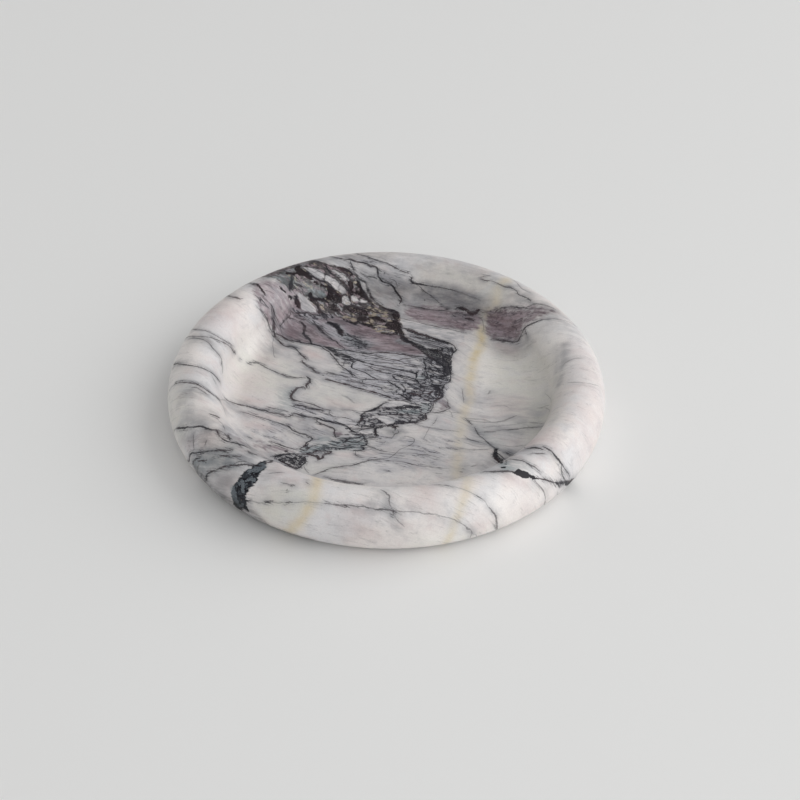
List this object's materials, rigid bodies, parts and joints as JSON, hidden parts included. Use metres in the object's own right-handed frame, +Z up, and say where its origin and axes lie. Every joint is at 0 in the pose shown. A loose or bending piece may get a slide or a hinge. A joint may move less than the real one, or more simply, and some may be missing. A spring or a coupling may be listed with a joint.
{
  "type": "stone tray",
  "caption": "Round stone tray: a flat-floored dish inside a thick rounded rim, for keys, jewellery or toiletries, standing on felt pads.",
  "frame": {"origin": "centre of the round footprint, on the surface that the felt pads stand on", "axes": "+Z up along the tray's axis of symmetry; -Y is the side nearest the viewer in the picture, +X to the viewer's right"},
  "size_m": [0.25, 0.25, 0.036],
  "materials": {
    "stone": "honed white, mauve and grey brecciated marble with dark veins",
    "felt": "pressed wool felt, self-adhesive"
  },
  "bodies": {
    "root": {"stone_tray": "stone", "felt_pad_1": "felt", "felt_pad_2": "felt", "felt_pad_3": "felt", "felt_pad_4": "felt"}
  },
  "joints": []
}
